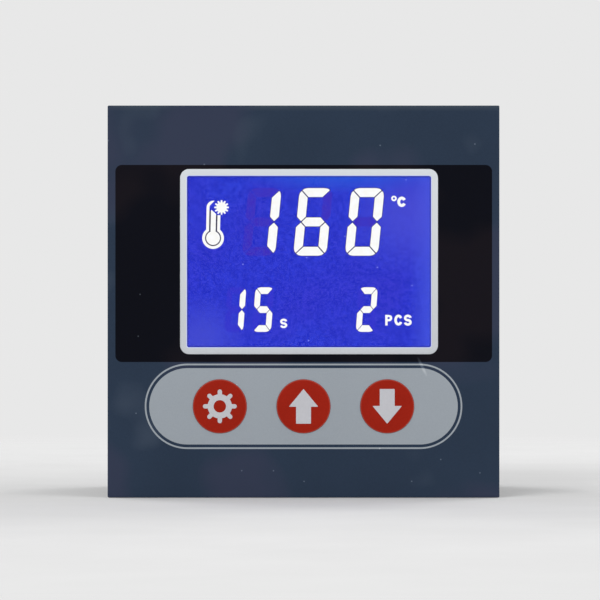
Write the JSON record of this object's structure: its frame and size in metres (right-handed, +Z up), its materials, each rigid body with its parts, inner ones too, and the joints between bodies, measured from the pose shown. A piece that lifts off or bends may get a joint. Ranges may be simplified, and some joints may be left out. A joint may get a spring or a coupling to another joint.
{
  "type": "heat press controller",
  "caption": "Square panel-mounted heat press controller with a lit display, round push keys, a vented case, barrier terminals and jack-screw panel clamps.",
  "frame": {"origin": "centre of the panel cut-out, in the plane of the panel's front surface", "axes": "+X to the right of someone facing the display, +Y back through the panel, +Z up"},
  "size_m": [0.096, 0.0757, 0.096],
  "materials": {
    "face_print": "printed film, satin gloss",
    "frame_silver": "silver print behind clear film",
    "window_clear": "clear, polished",
    "moulding_black": "fine spark texture",
    "gasket_rubber": "matt",
    "display_blue": "lit from behind",
    "holder_white": "moulded",
    "light_white": "lit",
    "contact_rubber": "striped conductive rubber",
    "circuit_board": "solder mask",
    "chip_black": "epoxy",
    "key_red": "satin gloss",
    "plunger_white": "moulded",
    "spring_steel": "bright",
    "zinc_steel": "zinc plated",
    "brass": "bright",
    "terminal_black": "moulded",
    "transformer_grey": "potted",
    "relay_blue": "moulded",
    "capacitor_yellow": "moulded",
    "varistor_blue": "dipped",
    "fuse_glass": "clear tube",
    "can_navy": "sleeved can",
    "sink_aluminium": "extruded",
    "foot_nylon": "moulded"
  },
  "bodies": {
    "housing": {"bezel": "moulding_black", "graphic_overlay": "face_print", "display_frame": "frame_silver", "display_window": "window_clear", "panel_gasket": "gasket_rubber", "case": "moulding_black", "lcd_glass": "display_blue", "lcd_holder": "holder_white", "light_guide": "light_white", "backlight_lamps": "light_white", "contact_strips": "contact_rubber", "display_board": "circuit_board", "board_screws": "zinc_steel", "switch_bodies": "chip_black", "microcontroller": "chip_black", "dome_set": "spring_steel", "dome_up": "spring_steel", "dome_down": "spring_steel", "power_board": "circuit_board", "control_board": "circuit_board", "board_links": "chip_black", "transformer": "transformer_grey", "relay": "relay_blue", "suppression_capacitor": "capacitor_yellow", "varistor": "varistor_blue", "fuse": "fuse_glass", "fuse_clips": "brass", "smoothing_capacitors": "can_navy", "voltage_regulator": "chip_black", "heat_sink": "sink_aluminium", "sensor_amplifier": "chip_black", "buzzer": "chip_black", "terminal_strip_upper": "terminal_black", "terminal_strip_lower": "terminal_black", "terminal_plates": "brass", "terminal_washers": "zinc_steel", "terminal_screws": "zinc_steel", "clamp_bracket_upper": "zinc_steel", "clamp_bracket_lower": "zinc_steel"},
    "set_key": {"key_set": "key_red", "plunger_set": "plunger_white"},
    "up_key": {"key_up": "key_red", "plunger_up": "plunger_white"},
    "down_key": {"key_down": "key_red", "plunger_down": "plunger_white"},
    "upper_foot": {"clamp_foot_upper": "foot_nylon"},
    "lower_foot": {"clamp_foot_lower": "foot_nylon"},
    "upper_jack": {"clamp_screw_upper": "zinc_steel"},
    "lower_jack": {"clamp_screw_lower": "zinc_steel"}
  },
  "joints": [
    {"name": "set_press", "type": "slide", "parent": "housing", "child": "set_key", "axis": [0, 1, 0], "range_m": [0, 0.0005], "stiffness_N_per_m": 1600, "springref_m": -0.0005, "deforming": ["dome_set"]},
    {"name": "up_press", "type": "slide", "parent": "housing", "child": "up_key", "axis": [0, 1, 0], "range_m": [0, 0.0005], "stiffness_N_per_m": 1600, "springref_m": -0.0005, "deforming": ["dome_up"]},
    {"name": "down_press", "type": "slide", "parent": "housing", "child": "down_key", "axis": [0, 1, 0], "range_m": [0, 0.0005], "stiffness_N_per_m": 1600, "springref_m": -0.0005, "deforming": ["dome_down"]},
    {"name": "upper_foot_slide", "type": "slide", "parent": "housing", "child": "upper_foot", "axis": [0, 1, 0], "range_m": [-0.0038, 0.004]},
    {"name": "upper_jack_turn", "type": "hinge", "parent": "upper_foot", "child": "upper_jack", "pos_m": [0, 0.022, 0.04512], "axis": [0, 1, 0], "range_deg": [-2737, 2881]},
    {"name": "lower_foot_slide", "type": "slide", "parent": "housing", "child": "lower_foot", "axis": [0, 1, 0], "range_m": [-0.0038, 0.004]},
    {"name": "lower_jack_turn", "type": "hinge", "parent": "lower_foot", "child": "lower_jack", "pos_m": [0, 0.022, -0.04512], "axis": [0, 1, 0], "range_deg": [-2737, 2881]}
  ],
  "couplings": [
    {"joint": "upper_jack_turn", "follows": "upper_foot_slide", "rad_per_m": 12566},
    {"joint": "lower_jack_turn", "follows": "lower_foot_slide", "rad_per_m": 12566}
  ]
}
